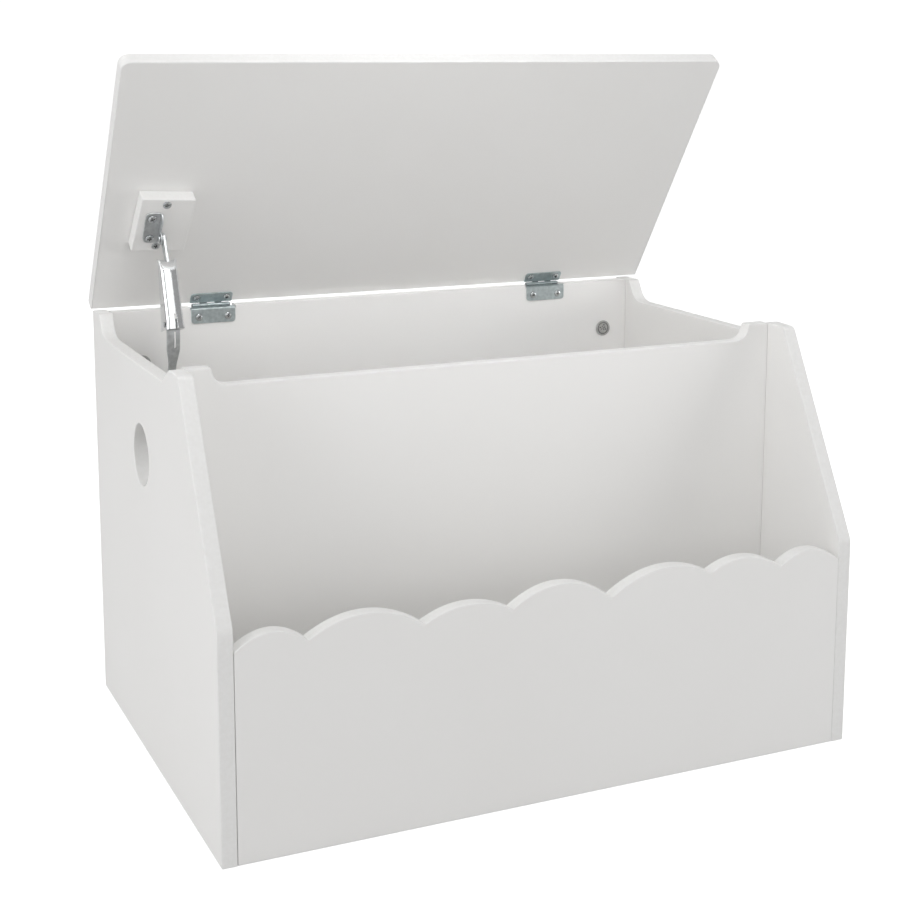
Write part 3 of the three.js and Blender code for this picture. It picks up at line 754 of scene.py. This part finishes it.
def fold_case_leaf(y, depth):
    """The fingers roll the other way; beyond the shelf the leaf turns down over the board."""
    r = KNUCKLE_R - LEAF_T + depth
    if y > 0:
        turn = y / ROLL_R
        return r * sin(turn), -r * cos(turn)
    if y > -SHELF:
        return y, -r
    centre_z = -ROLL_R - CRANK_BEND
    bend = CRANK_BEND + LEAF_T / 2 - depth
    if y > -SHELF - FOLD:
        turn = (-SHELF - y) / CRANK_BEND
        return -SHELF - bend * sin(turn), centre_z + bend * cos(turn)
    return -SHELF - bend, centre_z + y + SHELF + FOLD


def hinges():
    drop_tail = -SHELF - FOLD - (LEAF_DROP - ROLL_R - CRANK_BEND)
    screw_y = -SHELF - FOLD - (-CASE_SCREW_Z - ROLL_R - CRANK_BEND)
    edge, narrower = 0.28, 1.2
    for side, x in (("l", PIN.x), ("r", -PIN.x)):
        holes = [round_hole(share * LID_SCREW_X, LID_SCREW_Y, HINGE_BORE_R, 24)
                 for share in (-1, 1)]
        line = leaf_outline(1, LEAF_TAIL, LEAF_CORNER, LEAF_HALF - narrower)
        bm = slab(line, holes, 0, LEAF_T, edge, along_z, 3)
        stand_in(f"hinge_{side}_lid_leaf", roll_up(bm, fold_lid_leaf),
                 LID_AXES @ Matrix.Translation((x, 0, 0)))
        holes = [round_hole(share * CASE_SCREW_X, screw_y, HINGE_BORE_R, 24)
                 for share in (-1, 1)]
        line = leaf_outline(0, drop_tail, LEAF_CORNER, LEAF_HALF)
        bm = slab(line, holes, 0, LEAF_T, edge, along_z, 3)
        stand_in(f"hinge_{side}_case_leaf", roll_up(bm, fold_case_leaf),
                 Matrix.Translation((x, PIN.y, PIN.z)))


# ------------------------------------------------------------------ lid stay
def capsule(a, ra, b, rb, steps=16):
    """Outline round two discs, anticlockwise."""
    way = atan2(b.y - a.y, b.x - a.x)
    return (arc(a.x, a.y, ra, way + pi / 2, way + 1.5 * pi, steps)
            + arc(b.x, b.y, rb, way - pi / 2, way + pi / 2, steps))


def stay_bracket():
    """Angle of pressed plate: one leg screwed to the block, the other carries the pivot."""
    face = BLOCK_FACE - GAP
    outer, middle = 2.2, 1.4                # fold radii
    fold = middle * pi / 2
    edge_x = FLANGE_X - outer               # where the fold starts
    depth = face - outer - PIVOT_Z          # straight part of the flange down to the pivot
    pivot_u = edge_x + fold + depth
    near, far = 5, 6.5                      # corner radii towards the lid's front and the pins
    shoulder = edge_x + fold                # root of the flange
    line = arc(BRACKET_LEFT + near, BRACKET_TOP + near, near, pi, 1.5 * pi, 8)
    line += [Vector((edge_x, BRACKET_TOP))]
    line += curve((shoulder, BRACKET_TOP + 1.5), (shoulder + 4, BRACKET_TOP + 2.5),
                  (shoulder + 5.5, BRACKET_TOP + 9), 8)
    line += arc(pivot_u, PIVOT_Y, 6.5, -2.2, 2.0, 20)
    line += [Vector((shoulder, BRACKET_FOOT - 2)), Vector((edge_x, BRACKET_FOOT))]
    line += arc(BRACKET_LEFT + far, BRACKET_FOOT - far, far, pi / 2, pi, 10)
    holes = [round_hole(BRACKET_SCREW_X, y, PLATE_BORE_R, 24) for y in BRACKET_SCREWS_Y]
    holes.append(round_hole(pivot_u, PIVOT_Y, ARM_EYE_R, 24))
    bm = slab(line, holes, 0, PLATE_T, 0.3, along_z, 3)
    steps = 8
    for k in range(steps + 1):
        geom = list(bm.verts) + list(bm.edges) + list(bm.faces)
        bmesh.ops.bisect_plane(bm, geom=geom, plane_co=(edge_x + fold * k / steps, 0, 0),
                               plane_no=(1, 0, 0))
    for vert in bm.verts:
        u, w = vert.co.x, vert.co.z         # w = 0 against the block
        if u <= edge_x:
            vert.co.z = face - w
            continue
        turn = min((u - edge_x) / middle, pi / 2)
        past = max(0.0, u - edge_x - fold)
        vert.co.x = edge_x + (outer - w) * sin(turn)
        vert.co.z = face - outer + (outer - w) * cos(turn) - past
    stand_in("stay_bracket", bm, LID_AXES)


def smooth_step(value):
    """0 to 1 with level ends."""
    value = min(1.0, max(0.0, value))
    return value * value * (3 - 2 * value)


def housing_section(share, shrink):
    """Plan of the channel at a share of its height, from the rear left round the front to the
    rear right."""
    flare = smooth_step((0.14 - share) / 0.14) ** 2
    flare += smooth_step((share - 0.9) / 0.1) * HOUSING_LIP
    half = HOUSING_HALF + flare - shrink
    depth, taper = 27.3, 17.2               # front to rear at the foot, and the loss to the top
    depth -= taper * share
    crown, r = 0.6, 4.4 - shrink
    left = [(-half, depth + (r + shrink + crown - depth) * k / 7) for k in range(7)]
    turns = [pi / 2 * k / 10 for k in range(11)]
    left += [(-half + r - r * cos(a), shrink + crown + r - r * sin(a)) for a in turns]
    flat = half - r
    columns = (-0.8, -0.45, -0.12, 0.33, 0.6, 0.85)   # the notch lies between two of these
    front = [(flat * s, shrink + crown * s * s) for s in columns]
    right = [(-x, y) for x, y in reversed(left)]
    return left + front + right


def stay_housing():
    """Folded chrome cover: crowned front, flared foot, top curled back, open at the rear and
    below."""
    wall, rows, notch_share = 1.4, 56, 0.2
    height, rear_rise, corner_rise = 72.6, 0.33, 1.2
    curl_start, curl_back, front_reach = 0.82, 6.0, 9
    outer, inner = [], []
    for i in range(rows + 1):
        share = i / rows
        curl = max(0.0, (share - curl_start) / (1 - curl_start))
        for grid, shrink in ((outer, 0.0), (inner, wall)):
            row = []
            for x, y in housing_section(share, shrink):
                near = smooth_step(1 - y / front_reach)
                out = abs(x) / (HOUSING_HALF + HOUSING_LIP)
                low_z = 0.1 * y
                high_z = height + rear_rise * y + corner_rise * out ** 2 * near
                back = curl_back * curl * curl * near * (1 - 0.55 * out ** 3)
                row.append((x, y + back, low_z + (high_z - low_z) * share))
            grid.append(row)
    columns = range(len(outer[0]))
    notch = next(j for j in columns if outer[0][j][1] < 2 and outer[0][j][0] > -1)
    bm = sheet_grid(outer, inner, lambda i, j: j != notch or i >= rows * notch_share)
    place = Matrix.Translation((STAY_X, HOUSING_ORIGIN.x, HOUSING_ORIGIN.y))
    stand_in("stay_housing", bm, place @ Matrix.Rotation(-HOUSING_TILT, 4, "X"),
             bevel=0.3, sharp=60)


def stay_arm():
    """Flat bar from the rivet down into the housing."""
    low, high = box_mm("stay_arm")
    hole = round_hole(UPPER.x, UPPER.y, ARM_EYE_R, 24)
    bm = slab(capsule(UPPER, 6, ARM_END, 3.4), [hole], low.x, high.x, 0.45, along_x, 4)
    stand_in("stay_arm", bm)


def spline(points, steps):
    """Evenly spaced points and unit tangents along a smooth line through the given points."""
    points = [Vector(p) for p in points]
    padded = [2 * points[0] - points[1], *points, 2 * points[-1] - points[-2]]
    dense = []
    for a, b, c, d in zip(padded, padded[1:], padded[2:], padded[3:]):
        for k in range(24):
            t = k / 24
            dense.append(0.5 * (2 * b + (c - a) * t + (2 * a - 5 * b + 4 * c - d) * t * t
                                + (3 * b - a - 3 * c + d) * t ** 3))
    dense.append(points[-1])
    lengths = [0.0]
    for a, b in zip(dense, dense[1:]):
        lengths.append(lengths[-1] + (b - a).length)
    made, j = [], 0
    for k in range(steps + 1):
        goal = lengths[-1] * k / steps
        while j < len(dense) - 2 and lengths[j + 1] < goal:
            j += 1
        step = dense[j + 1] - dense[j]
        share = (goal - lengths[j]) / max(step.length, 1e-9)
        made.append((dense[j] + step * min(share, 1.0), step.normalized()))
    return made


def strap_half(z):
    """Half width of the lower arm at a height: narrow neck, shoulder, wide head."""
    return 3.8 + 2.9 * smooth_step((z - 386) / 21)


def lower_arm():
    """Pressed strap, cranked, with a slot at its head and an eye at each end."""
    thick, slot_foot, slot_top = 3.0, 406, 424
    route = spline([ELBOW + Vector((2.5, -4.5)), (96, 414), (101, 392), (113, 368), (138, 352),
                    LOWER + Vector((-5, 1.2))], 72)
    across = [-1, -0.82, -0.55, -0.25, -0.05, 0.12, 0.42, 0.62, 0.82, 1]
    outer, inner = [], []
    for point, way in route:
        normal = Vector((-way.y, way.x)) * (thick / 2)
        half = strap_half(point.y)
        for grid, side in ((outer, 1), (inner, -1)):
            p = point + normal * side
            grid.append([(STAY_X + half * s, p.x, p.y) for s in across])
    slot_rows = [i for i, (p, way) in enumerate(route) if slot_foot < p.y < slot_top]
    slot_column = across.index(0.12)
    bm = sheet_grid(outer, inner, lambda i, j: not (j == slot_column and i in slot_rows))
    for centre, bore, reach, half in ((ELBOW, 2.8, 5.6, 6.6), (LOWER, 3.3, 6.6, 3.8)):
        eye = turned_x(tube(bore, reach, -half, half, 0.35), STAY_X, centre.x, centre.y)
        bm = joined(bm, eye, "UNION")
    stand_in("stay_lower_arm", bm, bevel=0.3)


def stay_foot():
    """Mount plate with two screw holes and a shouldered stud for the lower eye."""
    low, high = box_mm("stay_foot")
    half_w, half_h = 12, 25
    plate = rounded_rect(LOWER.x - half_w, LOWER.x + half_w,
                         LOWER.y - half_h, LOWER.y + half_h, 8)
    holes = [round_hole(LOWER.x, LOWER.y + dz, PLATE_BORE_R, 24)
             for dz in (-FOOT_SCREW_RISE, FOOT_SCREW_RISE)]
    bm = slab(plate, holes, low.x, low.x + PLATE_T, 0.3, along_x, 3)
    start, end = low.x + 0.5, high.x
    near, far = STAY_X - 4.3, STAY_X + 4.3  # shoulders on both sides of the eye
    profile = [(0, start), (5.5, start), (5.5, near - 0.3), (5.2, near), (3, near),
               (3, far), (5.2, far), (5.2, end - 0.6), (4.4, end), (0, end)]
    stud = turned_x(lathe(profile, 40), 0, LOWER.x, LOWER.y)
    stand_in("stay_foot", joined(bm, stud, "UNION"))


# ------------------------------------------------------------------ camera, light and floor
def camera():
    place = (-0.70075, -1.52162, 0.70925)
    yaw, pitch, roll = radians(-24.359), radians(-9.244), radians(0.074)
    ahead = Vector((-sin(yaw) * cos(pitch), cos(yaw) * cos(pitch), sin(pitch)))
    right = Vector((cos(yaw), sin(yaw), 0))
    up = right.cross(ahead)
    across = right * cos(roll) + up * sin(roll)
    upward = up * cos(roll) - right * sin(roll)
    data = bpy.data.cameras.new("camera")
    data.sensor_width = 36
    data.lens = 64.977
    data.shift_y = -0.15
    data.clip_end = 50
    eye = bpy.data.objects.new("camera", data)
    turn = Matrix((across, upward, -ahead)).transposed().to_4x4()
    eye.matrix_world = Matrix.Translation(place) @ turn
    bpy.context.scene.collection.objects.link(eye)
    bpy.context.scene.camera = eye


def soft_box(name, place, aim, width, height, watts, spread=180):
    """An area lamp at a place, turned to an aim, both in metres; spread is in degrees."""
    data = bpy.data.lights.new(name, "AREA")
    data.shape = "RECTANGLE"
    data.size, data.size_y = width, height
    data.energy = watts
    data.spread = radians(spread)
    lamp = bpy.data.objects.new(name, data)
    lamp.location = place
    lamp.rotation_euler = (Vector(aim) - Vector(place)).to_track_quat("-Z", "Y").to_euler()
    bpy.context.scene.collection.objects.link(lamp)


def sky(dim, bright, backdrop):
    """Plain white backdrop; its light is softer, and fades to the front and to the right."""
    front_right = (0.566, -0.824, 0)
    world = bpy.data.worlds.new("studio")
    bpy.context.scene.world = world
    world.use_nodes = True
    nodes, links = world.node_tree.nodes, world.node_tree.links
    coords = nodes.new("ShaderNodeTexCoord")
    towards = nodes.new("ShaderNodeVectorMath")
    towards.operation = "DOT_PRODUCT"
    towards.inputs[1].default_value = front_right
    links.new(coords.outputs["Generated"], towards.inputs[0])
    fade = nodes.new("ShaderNodeMapRange")
    fade.interpolation_type = "SMOOTHSTEP"
    fade.inputs["From Min"].default_value = 0.1
    fade.inputs["From Max"].default_value = 0.95
    fade.inputs["To Min"].default_value = bright
    fade.inputs["To Max"].default_value = dim
    links.new(towards.outputs["Value"], fade.inputs["Value"])
    shown = nodes.new("ShaderNodeMix")
    shown.inputs["B"].default_value = backdrop
    links.new(nodes.new("ShaderNodeLightPath").outputs["Is Camera Ray"], shown.inputs["Factor"])
    links.new(fade.outputs["Result"], shown.inputs["A"])
    links.new(shown.outputs["Result"], nodes["Background"].inputs["Strength"])
    nodes["Background"].inputs["Color"].default_value = (1, 1, 1, 1)


def floor():
    size, below = 14, 0.0005
    mesh = bpy.data.meshes.new("floor")
    mesh.from_pydata([(-size, -size, 0), (size, -size, 0), (size, size, 0), (-size, size, 0)],
                     [], [(0, 1, 2, 3)])
    mesh.materials.append(floor_material())
    ground = bpy.data.objects.new("floor", mesh)
    ground.location.z = cad_box[0].z - below
    bpy.context.scene.collection.objects.link(ground)


def studio():
    sky(0.34, 0.52, 1.06)
    soft_box("key", (-2.2, 0.25, 0.85), (0, 0.05, 0.45), 1.2, 0.9, 5.5)
    soft_box("left_front", (-2.9, -0.9, 1.3), (0, 0, 0.35), 0.9, 1.8, 19)
    soft_box("top", (0, -0.4, 3.2), (0, 0, 0), 3.4, 3.4, 20)
    soft_box("front", (-0.6, -3.3, 0.9), (0, 0, 0.3), 2.6, 1.0, 8)
    soft_box("high_front", (-0.2, -2.9, 2.15), (0, 0, 0.3), 2.3, 1.0, 7)
    soft_box("low_right", (2.4, -1.4, 0.45), (0.2, 0.2, 0.55), 1.2, 0.9, 14.5)
    soft_box("rear", (0.7, 3.1, 1.0), (0, 0.2, 0.3), 2.4, 1.2, 12)
    soft_box("inside", (-0.1, -0.9, 1.5), (0, 0.2, 0.42), 0.5, 0.4, 0.33, 36)
    bpy.context.scene.view_settings.view_transform = "Standard"


camera()
boards()
screws()
pins()
cams()
hinges()
stay_bracket()
stay_arm()
stay_housing()
lower_arm()
stay_foot()
floor()
studio()
